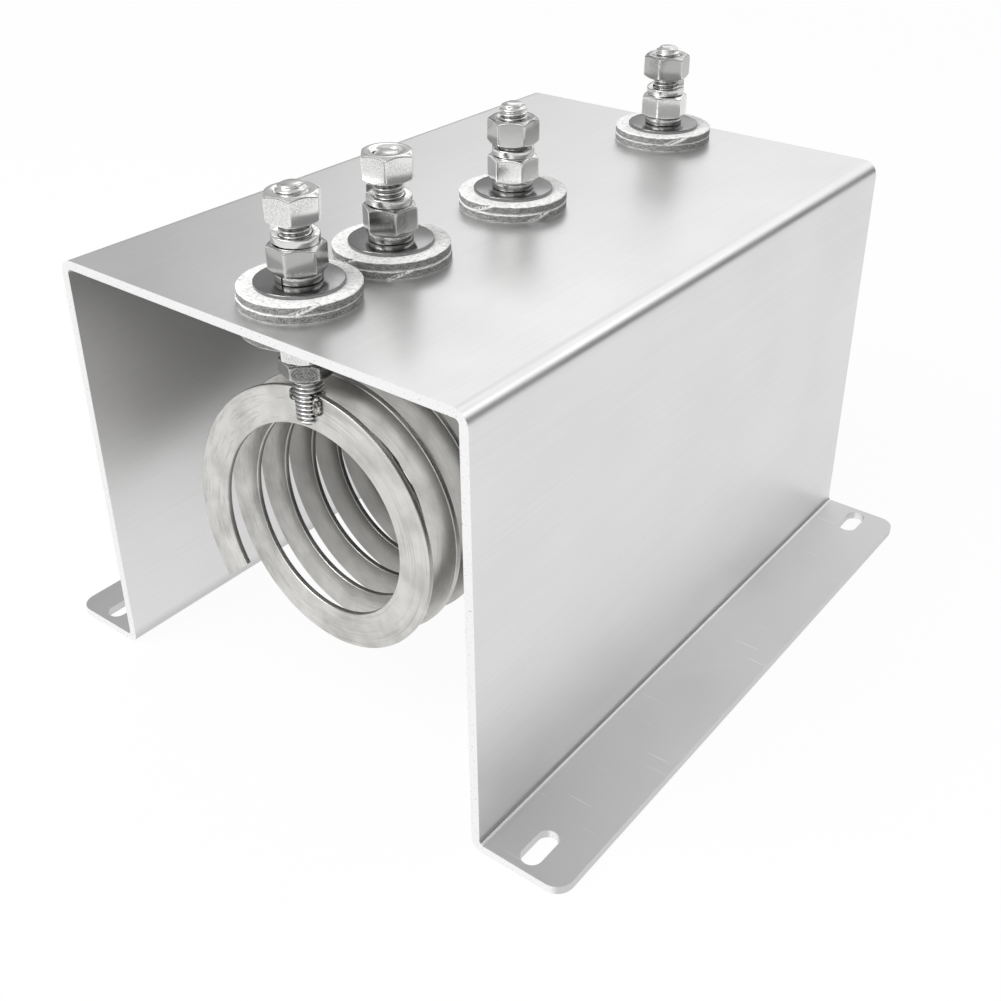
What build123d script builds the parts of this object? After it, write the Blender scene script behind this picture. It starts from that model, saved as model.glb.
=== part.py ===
from build123d import *
import os
from math import cos, radians, sin, tan

# A power resistor: a coil of flat resistance strip, wound on edge, hangs from four threaded studs under the
# top of a folded sheet bracket. Each stud is clamped through the plate between insulating mica discs, and
# carries a loose washer and nut above for a cable. Millimetres. X runs across the bracket, Y along the
# coil from its front end to its rear end, Z up from the surface that the two feet stand on.

# The bracket: one sheet folded to the section of a hat, open at both ends and underneath
LENGTH = 255.0
WIDTH = 170.0                 # over the two walls where they meet the top
HEIGHT = 159.5
SHEET = 3.2
FOOT_WIDTH = 32.0
WALL_SPREAD = 1.6             # each wall stands this much further out at its foot
TOP_BEND_RADIUS = 5.6         # outside of the bend
TOP_BEND_INNER_RADIUS = 1.6
FOOT_BEND_RADIUS = 4.4        # the bend's outside, under the wall
FOOT_BEND_INNER_RADIUS = 1.6
FOOT_CORNER_RADIUS = 6.4
SLOT_WIDTH = 7.5
SLOT_LENGTH = 16.0
SLOT_TO_END = 10.6            # slot's centre to the bracket's end

# The coil: flat strip wound on edge, its turns clockwise as they go back
COIL_OUTER_RADIUS = 49.2
STRIP_WIDTH = 12.9            # radial
STRIP_THICKNESS = 2.1         # along Y
COIL_AXIS_HEIGHT = 79.6
TAIL_ANGLE = 132.0            # the strip runs this far past the first and the last stud
TAIL_PITCH = 15.0
TURNS_BETWEEN_STUDS = [3, 5, 7]
COIL_LEAN = 3.3               # degrees that every turn leans back at its top

# The four terminals, front to rear
STUD_FROM_FRONT = [24.5, 65.9, 129.6, 230.3]
STUD_OFF_CENTRE = [0.4, 0.0, 0.8, 1.5]      # the holes are drilled a little off the middle
STUD_DIAMETER = 10.0
STUD_TOP = [196.0, 194.6, 196.0, 196.5]     # height over the feet
STUD_FOOT = 118.0
STUD_CHAMFER = 1.0
KERF_WIDTH = 3.5              # sawn up into the stud's foot, and straddles the strip
KERF_OFFSET = [1.2, 2.2, 1.8, 1.8]          # the strip's middle stands this far in front of the stud's axis
WELD_TOP = 128.6
# Each bead's place across, how far the helix sets the strip back there, its radius and its low end
WELD_BEADS = [(-5.0, -0.36, 1.3, 124.3), (5.2, 0.13, 1.7, 121.7)]

# What is threaded on each stud
NUT_ACROSS_FLATS = 16.0
NUT_HEIGHT = 9.0
JAM_NUT_HEIGHT = 5.8
NUT_FACE_DIAMETER = 15.0      # the flat ring left inside the chamfered corners
NUT_CHAMFER_ANGLE = 30.0
NUT_BORE_CHAMFER = 0.6
NUT_MARGIN = 0.3              # the chamfering cone runs this far past the corners
DISC_DIAMETER = 38.5
DISC_THICKNESS = 2.8
DISC_SHIFT = 0.35             # the lower disc of each pair lies this much off the stud's axis
PLATE_HOLE_DIAMETER = 15.0
FLAT_WASHER_DIAMETER = 28.0
FLAT_WASHER_THICKNESS = 1.2
FLAT_WASHER_CHAMFER = 0.2
SPRING_WASHER_DIAMETER = 14.8
SPRING_WASHER_THICKNESS = 2.5
SPRING_WASHER_GAP = 5.0       # degrees left open at the split
CLAMPED_RISE = 0.15           # from one end of a pressed spring washer to the other
LOOSE_RISE = [2.6, 2.6, 1.3, 2.6]           # the same on an unloaded one
LOOSE_IS_LEFT_HAND = [False, False, False, True]

# How far each loose top nut stands over its clamp nut, and how the pieces are turned, in degrees
TOP_NUT_GAP = [6.75, 8.05, 4.05, 6.55]
TOP_NUT_TURN = [10.0, 9.0, 32.0, 41.0]
CLAMP_NUT_TURN = [51.0, 25.0, 27.0, 44.0]
PLATE_NUT_TURN = [20.0, 35.0, 5.0, 50.0]
JAM_NUT_TURN = [40.0, 12.0, 28.0, 3.0]
LOOSE_WASHER_TURN = [217.0, 212.0, 215.0, 35.0]
CLAMP_WASHER_TURN = [271.0, 120.0, 100.0, 150.0]
DISC_SHIFT_TURN = [200.0, 20.0, 290.0, 130.0]

# Worked out from the values above
HALF_LENGTH = LENGTH / 2
WALL_X = WIDTH / 2
FOOT_X = WALL_X + WALL_SPREAD
TIP_X = FOOT_X + FOOT_WIDTH
SLOT_X = FOOT_X + FOOT_WIDTH / 2
SLOT_Y = HALF_LENGTH - SLOT_TO_END
STRIP_MID_RADIUS = COIL_OUTER_RADIUS - STRIP_WIDTH / 2
STUDS = [(x, y - HALF_LENGTH) for x, y in zip(STUD_OFF_CENTRE, STUD_FROM_FRONT)]
STRIP_TOP = COIL_AXIS_HEIGHT + STRIP_MID_RADIUS
STRIP_Y = [y - offset for (_, y), offset in zip(STUDS, KERF_OFFSET)]
STUD_RADIUS = STUD_DIAMETER / 2
DISC_STACK = 2 * DISC_THICKNESS
CLAMPED_HEIGHT = SPRING_WASHER_THICKNESS + CLAMPED_RISE
FLAT_WASHER_Z = HEIGHT + DISC_STACK
CLAMP_WASHER_Z = FLAT_WASHER_Z + FLAT_WASHER_THICKNESS
CLAMP_NUT_Z = CLAMP_WASHER_Z + CLAMPED_HEIGHT
LOOSE_WASHER_Z = CLAMP_NUT_Z + NUT_HEIGHT
UNDER_DISC_Z = HEIGHT - SHEET - DISC_STACK
UNDER_WASHER_Z = UNDER_DISC_Z - FLAT_WASHER_THICKNESS
PLATE_NUT_Z = UNDER_WASHER_Z - NUT_HEIGHT
JAM_NUT_Z = PLATE_NUT_Z - JAM_NUT_HEIGHT

os.makedirs("parts", exist_ok=True)


def save(part, name):
    """Labels a finished piece and writes it under its own name."""
    part.label = name
    export_step(part, f"parts/{name}.step")


def strip_plane(y, angle):
    """The radial plane through the coil's axis at an angle clockwise from the top, its X pointing outward."""
    outward = Vector(sin(radians(angle)), 0, cos(radians(angle)))
    onward = Vector(cos(radians(angle)), 0, -sin(radians(angle)))
    return Plane(origin=Vector(0, y, COIL_AXIS_HEIGHT), x_dir=outward, z_dir=onward)


def coil_plane(y, angle):
    """A plane across the coil's axis, its Z pointing back and its X outward at the angle."""
    outward = Vector(sin(radians(angle)), 0, cos(radians(angle)))
    return Plane(origin=Vector(0, y, COIL_AXIS_HEIGHT), x_dir=outward, z_dir=Vector(0, 1, 0))


def nut(at, base, height, turn):
    """A hexagon nut with its corners chamfered above and below and its bore countersunk."""
    x, y = at
    reach = NUT_ACROSS_FLATS / 2 / cos(radians(30)) + NUT_MARGIN
    drop = (reach - NUT_FACE_DIAMETER / 2) * tan(radians(NUT_CHAMFER_ANGLE))
    with BuildPart() as piece:
        with BuildSketch(Plane((x, y, base))):
            RegularPolygon(NUT_ACROSS_FLATS / 2, 6, major_radius=False, rotation=turn)
        extrude(amount=height)
        with BuildSketch(Plane(origin=(x, y, base), x_dir=(1, 0, 0), z_dir=(0, -1, 0))):
            with BuildLine():
                Polyline(
                    (0, 0),
                    (NUT_FACE_DIAMETER / 2, 0),
                    (reach, drop),
                    (reach, height - drop),
                    (NUT_FACE_DIAMETER / 2, height),
                    (0, height),
                    close=True,
                )
            make_face()
        revolve(axis=Axis((x, y, 0), (0, 0, 1)), mode=Mode.INTERSECT)
        with Locations((x, y, base + height)):
            Hole(STUD_RADIUS, depth=height)
        rims = piece.edges().filter_by(GeomType.CIRCLE)
        chamfer(rims.filter_by(lambda rim: abs(rim.radius - STUD_RADIUS) < 0.01), NUT_BORE_CHAMFER)
    return piece.part


def flat_ring(at, base, thickness, outer_diameter):
    """A flat ring round a stud."""
    with BuildPart() as piece:
        with BuildSketch(Plane((*at, base))):
            Circle(outer_diameter / 2)
            Circle(STUD_RADIUS, mode=Mode.SUBTRACT)
        extrude(amount=thickness)
    return piece.part


def flat_washer(at, base):
    """A flat washer with its outer rims chamfered."""
    with BuildPart() as piece:
        add(flat_ring(at, base, FLAT_WASHER_THICKNESS, FLAT_WASHER_DIAMETER))
        rims = piece.edges().filter_by(GeomType.CIRCLE)
        chamfer(rims.filter_by(lambda rim: rim.radius > STUD_DIAMETER), FLAT_WASHER_CHAMFER)
    return piece.part


def mica_disc(at, base, shift_x, shift_y):
    """One insulating disc, its bore on the stud and its rim a little off centre."""
    with BuildPart() as piece:
        with BuildSketch(Plane((*at, base))):
            with Locations((shift_x, shift_y)):
                Circle(DISC_DIAMETER / 2)
            Circle(STUD_RADIUS, mode=Mode.SUBTRACT)
        extrude(amount=DISC_THICKNESS)
    return piece.part


def spring_washer(at, base, rise, turn, lefthand=True):
    """A split spring washer: a square bar in one turn of a helix, with a gap between its ends."""
    swept = 1 - SPRING_WASHER_GAP / 360
    bar = (SPRING_WASHER_DIAMETER - STUD_DIAMETER) / 2
    mid_radius = (SPRING_WASHER_DIAMETER + STUD_DIAMETER) / 4
    middle = Plane((*at, base + SPRING_WASHER_THICKNESS / 2)).rotated((0, 0, turn))
    path = middle * Helix(pitch=rise / swept, height=rise, radius=mid_radius, lefthand=lefthand)
    with BuildPart() as piece:
        with BuildSketch(Plane(origin=middle.origin, x_dir=middle.x_dir, z_dir=-middle.y_dir)):
            with Locations((mid_radius, 0)):
                Rectangle(bar, SPRING_WASHER_THICKNESS)
        sweep(path=path, is_frenet=True)
    return piece.part


def settled(washer, at, base, rise, turn):
    """An unloaded spring washer leaning towards its middle, so that its first half turn lies on the nut."""
    lean = rise / (SPRING_WASHER_DIAMETER + STUD_DIAMETER)
    lean_x, lean_y = lean * cos(radians(turn)), lean * sin(radians(turn))
    drop = -lean_x * at[0] - lean_y * at[1]
    leaned = washer.transform_geometry(Matrix([[1, 0, 0, 0], [0, 1, 0, 0], [lean_x, lean_y, 1, drop], [0, 0, 0, 1]]))
    return leaned.moved(Location((0, 0, base - leaned.bounding_box().min.Z)))


def weld_bead(x, y, radius, low):
    """Half a rounded bead of weld that leans with the strip, its flat back at y on the strip's front face."""
    top = WELD_TOP - low
    with BuildPart() as piece:
        with BuildSketch(Plane(origin=(x, y, low), x_dir=(1, 0, 0), z_dir=(0, -1, 0))):
            with BuildLine():
                Line((0, 0), (0, top))
                RadiusArc((0, top), (radius, top - radius), radius)
                Line((radius, top - radius), (radius, radius))
                RadiusArc((radius, radius), (0, 0), radius)
            make_face()
        revolve(axis=Axis((x, y, 0), (0, 0, -1)), revolution_arc=180)
    return piece.part.rotate(Axis((x, y, low), (1, 0, 0)), -COIL_LEAN)


# The bracket
with BuildPart() as bracket:
    with BuildSketch(Plane.XZ.offset(HALF_LENGTH)) as section:
        with BuildLine():
            Polyline(
                (TIP_X, 0),
                (TIP_X, SHEET),
                (FOOT_X, SHEET),
                (WALL_X, HEIGHT),
                (-WALL_X, HEIGHT),
                (-FOOT_X, SHEET),
                (-TIP_X, SHEET),
                (-TIP_X, 0),
                (-FOOT_X + SHEET, 0),
                (-WALL_X + SHEET, HEIGHT - SHEET),
                (WALL_X - SHEET, HEIGHT - SHEET),
                (FOOT_X - SHEET, 0),
                close=True,
            )
        make_face()
        bends = [
            (lambda v: abs(v.Y - HEIGHT) < 0.01, TOP_BEND_RADIUS),
            (lambda v: abs(v.Y - HEIGHT + SHEET) < 0.01, TOP_BEND_INNER_RADIUS),
            (lambda v: abs(abs(v.X) - FOOT_X) < 0.01, FOOT_BEND_INNER_RADIUS),
            (lambda v: abs(abs(v.X) - FOOT_X + SHEET) < 0.01, FOOT_BEND_RADIUS),
        ]
        for is_on_bend, bend_radius in bends:
            fillet(section.vertices().filter_by(is_on_bend), bend_radius)
    extrude(amount=-LENGTH)
    upright = bracket.edges().filter_by(Axis.Z)
    fillet(upright.filter_by(lambda e: abs(abs(e.center().X) - TIP_X) < 0.01), FOOT_CORNER_RADIUS)
    with BuildSketch(Plane.XY):
        with GridLocations(2 * SLOT_X, 2 * SLOT_Y, 2, 2):
            SlotOverall(SLOT_LENGTH, SLOT_WIDTH, rotation=90)
    extrude(amount=SHEET, mode=Mode.SUBTRACT)
    with BuildSketch(Plane.XY.offset(HEIGHT)):
        with Locations(*STUDS):
            Circle(PLATE_HOLE_DIAMETER / 2)
    extrude(amount=-SHEET, mode=Mode.SUBTRACT)
save(bracket.part, "bracket")

# The coil: a run of helix between each two studs, so that the strip passes through every kerf, and a tail
# past the first stud and past the last
runs = [(STRIP_Y[0] - TAIL_PITCH * TAIL_ANGLE / 360, -TAIL_ANGLE, TAIL_ANGLE / 360, TAIL_PITCH)]
for this_y, next_y, turns in zip(STRIP_Y, STRIP_Y[1:], TURNS_BETWEEN_STUDS):
    runs.append((this_y, 0.0, turns, (next_y - this_y) / turns))
runs.append((STRIP_Y[-1], 0.0, TAIL_ANGLE / 360, TAIL_PITCH))
paths = [
    coil_plane(run_y, start_angle) * Helix(pitch, pitch * turns, STRIP_MID_RADIUS)
    for run_y, start_angle, turns, pitch in runs
]

with BuildPart() as resistance_coil:
    for (run_y, start_angle, _, _), path in zip(runs, paths):
        with BuildSketch(strip_plane(run_y, start_angle)):
            with Locations((STRIP_MID_RADIUS, 0)):
                Rectangle(STRIP_WIDTH, STRIP_THICKNESS)
        sweep(path=path, is_frenet=True)

# Its turns lean back at their tops: each point moves along Y by its height over the strip in the kerfs
slope = tan(radians(COIL_LEAN))
lean = Matrix([[1, 0, 0, 0], [0, 1, slope, -slope * STRIP_TOP], [0, 0, 1, 0], [0, 0, 0, 1]])
save(resistance_coil.part.transform_geometry(lean), "resistance_coil")

# The four terminals
for index, at in enumerate(STUDS):
    number = index + 1
    kerf_y = STRIP_Y[index]
    kerf_top = COIL_AXIS_HEIGHT + COIL_OUTER_RADIUS
    with BuildPart() as stud:
        with BuildSketch(Plane((*at, STUD_FOOT))):
            Circle(STUD_RADIUS)
        extrude(amount=STUD_TOP[index] - STUD_FOOT)
        chamfer(stud.faces().sort_by(Axis.Z)[-1].edges(), STUD_CHAMFER)
        with BuildSketch(Plane((at[0], kerf_y, STUD_FOOT))):
            Rectangle(STUD_DIAMETER, KERF_WIDTH)
        extrude(amount=kerf_top - STUD_FOOT, mode=Mode.SUBTRACT)
    save(stud.part, f"stud_{number}")

    # A bead of weld lies in each corner between the lip in front of the kerf and the strip
    beads = []
    for across, back, radius, low in WELD_BEADS:
        face_y = kerf_y - STRIP_THICKNESS / 2 + back + slope * (low - STRIP_TOP)
        whole_bead = weld_bead(at[0] + across, face_y, radius, low)
        with BuildPart() as bead:
            add(whole_bead)
            add(stud.part, mode=Mode.SUBTRACT)
        beads.append(bead.part.solids().sort_by(SortBy.VOLUME)[-1])
    save(Compound(children=beads), f"weld_beads_{number}")

    nuts = [
        ("top_nut", LOOSE_WASHER_Z + TOP_NUT_GAP[index], NUT_HEIGHT, TOP_NUT_TURN[index]),
        ("clamp_nut", CLAMP_NUT_Z, NUT_HEIGHT, CLAMP_NUT_TURN[index]),
        ("plate_nut", PLATE_NUT_Z, NUT_HEIGHT, PLATE_NUT_TURN[index]),
        ("jam_nut", JAM_NUT_Z, JAM_NUT_HEIGHT, JAM_NUT_TURN[index]),
    ]
    for name, base, height, turn in nuts:
        save(nut(at, base, height, turn), f"{name}_{number}")

    rise, turn = LOOSE_RISE[index], LOOSE_WASHER_TURN[index]
    loose_washer = spring_washer(at, LOOSE_WASHER_Z, rise, turn, lefthand=LOOSE_IS_LEFT_HAND[index])
    save(settled(loose_washer, at, LOOSE_WASHER_Z, rise, turn), f"loose_spring_washer_{number}")
    clamp_washer = spring_washer(at, CLAMP_WASHER_Z, CLAMPED_RISE, CLAMP_WASHER_TURN[index])
    save(clamp_washer, f"clamp_spring_washer_{number}")
    for name, base in (("top_flat_washer", FLAT_WASHER_Z), ("under_flat_washer", UNDER_WASHER_Z)):
        save(flat_washer(at, base), f"{name}_{number}")

    # Two mica discs lie on each face of the plate, and a bush keeps the stud off the hole's edge
    shift_x = DISC_SHIFT * cos(radians(DISC_SHIFT_TURN[index]))
    shift_y = DISC_SHIFT * sin(radians(DISC_SHIFT_TURN[index]))
    for name, base in (("top_mica_discs", HEIGHT), ("under_mica_discs", UNDER_DISC_Z)):
        shifted_disc = mica_disc(at, base, shift_x, shift_y)
        centred_disc = mica_disc(at, base + DISC_THICKNESS, 0, 0)
        save(Compound(children=[shifted_disc, centred_disc]), f"{name}_{number}")
    save(flat_ring(at, HEIGHT - SHEET, SHEET, PLATE_HOLE_DIAMETER), f"insulating_bush_{number}")
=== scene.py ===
"""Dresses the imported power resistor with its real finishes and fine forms.

The classes hold their sizes in millimetres and build their meshes in metres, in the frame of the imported
model. X runs across the bracket, Y along the coil from front to rear, Z up from the floor.
"""
from __future__ import annotations

import logging
import math
from collections.abc import Sequence
from dataclasses import dataclass, field
from enum import Enum
from functools import partial
from typing import Any

import bmesh
import bpy
from mathutils import Matrix, Vector, noise


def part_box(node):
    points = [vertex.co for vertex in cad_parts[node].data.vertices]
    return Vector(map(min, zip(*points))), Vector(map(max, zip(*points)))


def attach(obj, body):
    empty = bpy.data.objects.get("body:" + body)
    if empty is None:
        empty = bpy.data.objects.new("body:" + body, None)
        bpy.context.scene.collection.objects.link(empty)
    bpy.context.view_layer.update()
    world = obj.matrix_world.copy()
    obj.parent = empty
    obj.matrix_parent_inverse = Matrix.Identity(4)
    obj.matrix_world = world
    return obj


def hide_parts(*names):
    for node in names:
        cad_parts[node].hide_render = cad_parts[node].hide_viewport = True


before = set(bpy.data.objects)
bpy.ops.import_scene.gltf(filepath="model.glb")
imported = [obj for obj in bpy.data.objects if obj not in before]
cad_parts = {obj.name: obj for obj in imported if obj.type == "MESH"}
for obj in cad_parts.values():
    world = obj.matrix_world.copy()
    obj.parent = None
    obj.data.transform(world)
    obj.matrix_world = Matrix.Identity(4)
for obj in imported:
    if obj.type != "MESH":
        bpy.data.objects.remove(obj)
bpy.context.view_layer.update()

MM = 0.001
TERMINAL_COUNT = 4

# A Mix node's settings, and the places of its sockets, which share their names between its kinds
COLOURS, NUMBERS = {"data_type": "RGBA"}, {"data_type": "FLOAT"}
SHARE, NUMBER_A, NUMBER_B, COLOUR_A, COLOUR_B, MIXED_COLOUR = 0, 2, 3, 6, 7, 2
WHITE = (1.0, 1.0, 1.0, 1.0)

log = logging.getLogger("power_resistor")


# Shared helpers


def linear(colour: str) -> tuple[float, float, float, float]:
    """Turns an sRGB hex colour into linear light.

    Args:
        colour: Six hex digits after a hash sign.

    Returns:
        Linear red, green and blue, and an alpha of 1.
    """
    channels = [int(colour[i:i + 2], 16) / 255 for i in (1, 3, 5)]
    # The numbers are those of the sRGB standard
    red, green, blue = [c / 12.92 if c <= 0.04045 else ((c + 0.055) / 1.055) ** 2.4 for c in channels]
    return red, green, blue, 1.0


def add_node(
    tree: bpy.types.NodeTree, kind: str, settings: dict[str, Any] | None = None,
    inputs: dict[Any, Any] | None = None, output: int | str = 0,
) -> bpy.types.NodeSocket | None:
    """Adds one node with its settings and its links.

    Args:
        tree: The material's or the world's node tree.
        kind: The node's type name.
        settings: Values for the node's own properties.
        inputs: Values or output sockets, by the input's name or place.
        output: The name or place of the output to give back.

    Returns:
        One of the node's outputs, or None where it has none.
    """
    node = tree.nodes.new(kind)
    for name, value in (settings or {}).items():
        setattr(node, name, value)
    for socket, value in (inputs or {}).items():
        if isinstance(value, bpy.types.NodeSocket):
            tree.links.new(value, node.inputs[socket])
        else:
            node.inputs[socket].default_value = value
    return node.outputs[output] if node.outputs else None


def box_mm(node: str) -> tuple[Vector, Vector]:
    """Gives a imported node's lowest and highest corners, in millimetres."""
    low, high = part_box(node)
    return Vector(low) / MM, Vector(high) / MM


def mesh_piece(
    name: str, points: Sequence[Vector], faces: Sequence[Sequence[int]], material: bpy.types.Material,
    sharp_degrees: float = 40.0,
) -> bpy.types.Object:
    """Makes a mesh object from points in millimetres.

    Args:
        name: The piece's name.
        points: Its points, in millimetres, in the model's frame.
        faces: Indices of each face's points.
        material: The finish on the whole piece.
        sharp_degrees: Edges that turn by more than this stay sharp.

    Returns:
        The new object, linked to the scene.
    """
    mesh = bpy.data.meshes.new(name)
    mesh.from_pydata([Vector(p) * MM for p in points], [], faces)
    mesh.materials.append(material)
    bm = bmesh.new()
    bm.from_mesh(mesh)
    bmesh.ops.recalc_face_normals(bm, faces=bm.faces)
    bm.to_mesh(mesh)
    bm.free()
    mesh.shade_smooth()
    mesh.set_sharp_from_angle(angle=math.radians(sharp_degrees))
    piece = bpy.data.objects.new(name, mesh)
    bpy.context.scene.collection.objects.link(piece)
    return piece


def loft(
    rings: Sequence[Sequence[Vector]], joined_ends: bool = False, capped: bool = False
) -> tuple[list[Vector], list[tuple[int, ...]]]:
    """Joins closed rings of equal length into one skin.

    Args:
        rings: The rings, in order.
        joined_ends: Whether the last ring meets the first again.
        capped: Whether a face closes the first and the last ring.

    Returns:
        The points and the faces.
    """
    count = len(rings[0])
    points = [p for ring in rings for p in ring]
    faces = []
    steps = len(rings) if joined_ends else len(rings) - 1
    for i in range(steps):
        a, b = i * count, (i + 1) % len(rings) * count
        for j in range(count):
            k = (j + 1) % count
            faces.append((a + j, a + k, b + k, b + j))
    if capped:
        faces.append(tuple(range(count)))
        faces.append(tuple(len(points) - count + j for j in range(count)))
    return points, faces


def even_angles(count: int) -> list[float]:
    """Divides a full turn from X into equal steps, in radians."""
    return [2 * math.pi * i / count for i in range(count)]


def level_ring(centre: Vector, height: float, radii: Sequence[float]) -> list[Vector]:
    """Gives a level ring of points round an upright axis, at even angles.

    Args:
        centre: A point on the axis.
        height: The ring's height.
        radii: Each point's distance from the axis.

    Returns:
        The points in order.
    """
    return [
        Vector((centre.x + radius * math.cos(angle), centre.y + radius * math.sin(angle), height))
        for radius, angle in zip(radii, even_angles(len(radii)))]


def rounded_bar(width: float, height: float, radius: float) -> list[tuple[float, float]]:
    """Gives the outline of a bar's section with rounded corners.

    Args:
        width: The section's width.
        height: The section's height.
        radius: The corners' radius.

    Returns:
        Places round the section's middle.
    """
    reach, half = width / 2 - radius, height / 2 - radius
    places = []
    # Each corner is an arc of four points, 30 degrees apart
    for corner, (side, face) in enumerate(((1, 1), (-1, 1), (-1, -1), (1, -1))):
        for step in range(4):
            angle = math.radians(90 * corner + 30 * step)
            places.append((side * reach + radius * math.cos(angle), face * half + radius * math.sin(angle)))
    return places


def apply_modifiers(piece: bpy.types.Object) -> None:
    """Turns a piece's modifiers into its mesh.

    Args:
        piece: The piece, which keeps its name and its finish.
    """
    graph = bpy.context.evaluated_depsgraph_get()
    made = bpy.data.meshes.new_from_object(piece.evaluated_get(graph))
    piece.modifiers.clear()
    piece.data = made


# Finishes


class Finish(Enum):
    """The finishes of the pieces, by the record's material slots. Dull nuts and darker nuts in painted shade share
    the nuts' slot.
    """

    SHEET = "folded_sheet"
    STRIP = "resistance_strip"
    STUD = "threaded_stud"
    NUT = "plated_nut"
    DULL_NUT = "dull_plated_nut"
    SHADED_UNDER_NUT = "oily_plated_nut"
    WASHER = "plated_washer"
    SPRING = "spring_steel"
    MICA = "mica"
    WELD = "weld_metal"


def start_material(
    name: str, colour: str, roughness: float, metallic: float = 1.0
) -> tuple[bpy.types.Material, partial, bpy.types.Node]:
    """Makes a material with its principled shader.

    Args:
        name: The material's name.
        colour: Its main colour, in sRGB hex.
        roughness: Its roughness before any pattern.
        metallic: 1 for a metal, 0 for anything else.

    Returns:
        The material, add_node on its tree, and the shader node.
    """
    material = bpy.data.materials.new(name)
    material.use_nodes = True
    tree = material.node_tree
    shader = tree.nodes["Principled BSDF"]
    shader.inputs["Base Color"].default_value = linear(colour)
    shader.inputs["Roughness"].default_value = roughness
    shader.inputs["Metallic"].default_value = metallic
    return material, partial(add_node, tree), shader


def grain(
    node: partial, grain_mm: tuple[float, float, float], detail: float = 2.0, roughness: float = 0.5
) -> bpy.types.NodeSocket:
    """Adds a noise pattern whose grain has its own real length along X, Y and Z.

    Args:
        node: add_node on the material's tree.
        grain_mm: The grain's size along each axis, in millimetres.
        detail: How many finer layers the noise has.
        roughness: How strong the finer layers are.

    Returns:
        The pattern's value, about 0.5 on average.
    """
    place = node("ShaderNodeTexCoord", output="Object")
    scaled = node("ShaderNodeMapping", None, {"Vector": place, "Scale": tuple(1 / (g * MM) for g in grain_mm)})
    return node("ShaderNodeTexNoise", None, {
        "Vector": scaled, "Scale": 1.0, "Detail": detail, "Roughness": roughness})


@dataclass(frozen=True)
class Ramp:
    """How a pattern's values turn into a mask or a measure: evenly between two ends, and flat past them."""

    start: float
    end: float
    at_start: float = 0.0
    at_end: float = 1.0

    def over(self, pattern: bpy.types.NodeSocket) -> dict[str, Any]:
        """Gives a Map Range node's inputs for this ramp.

        Args:
            pattern: The pattern whose values are mapped.

        Returns:
            The inputs by name.
        """
        return {
            "Value": pattern, "From Min": self.start, "From Max": self.end, "To Min": self.at_start,
            "To Max": self.at_end}


def facing(node: partial, axis: str, ramp: Ramp) -> bpy.types.NodeSocket:
    """Adds a mask of the surfaces that face along an axis, on either side.

    Args:
        node: add_node on the material's tree.
        axis: X, Y or Z.
        ramp: How the normal's share along the axis turns into the mask.

    Returns:
        The mask, from 0 to 1.
    """
    normal = node("ShaderNodeNewGeometry", output="Normal")
    along = node("ShaderNodeSeparateXYZ", None, {"Vector": normal}, axis)
    length = node("ShaderNodeMath", {"operation": "ABSOLUTE"}, {0: along})
    return node("ShaderNodeMapRange", None, ramp.over(length))


def link_patterns(
    node: partial, shader: bpy.types.Node, depth_mm: float, height: bpy.types.NodeSocket,
    tone: bpy.types.NodeSocket, rough: bpy.types.NodeSocket | None = None,
) -> None:
    """Links a finish's patterns to its shader.

    Args:
        node: add_node on the material's tree.
        shader: The material's principled shader.
        depth_mm: The depth of its relief, in millimetres.
        height: The relief's pattern.
        tone: The colour's pattern.
        rough: The roughness's pattern, where it has one.
    """
    relief = node("ShaderNodeBump", None, {"Distance": depth_mm * MM, "Height": height}, "Normal")
    for socket, pattern in (("Base Color", tone), ("Roughness", rough), ("Normal", relief)):
        if pattern is not None:
            shader.id_data.links.new(pattern, shader.inputs[socket])


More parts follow.
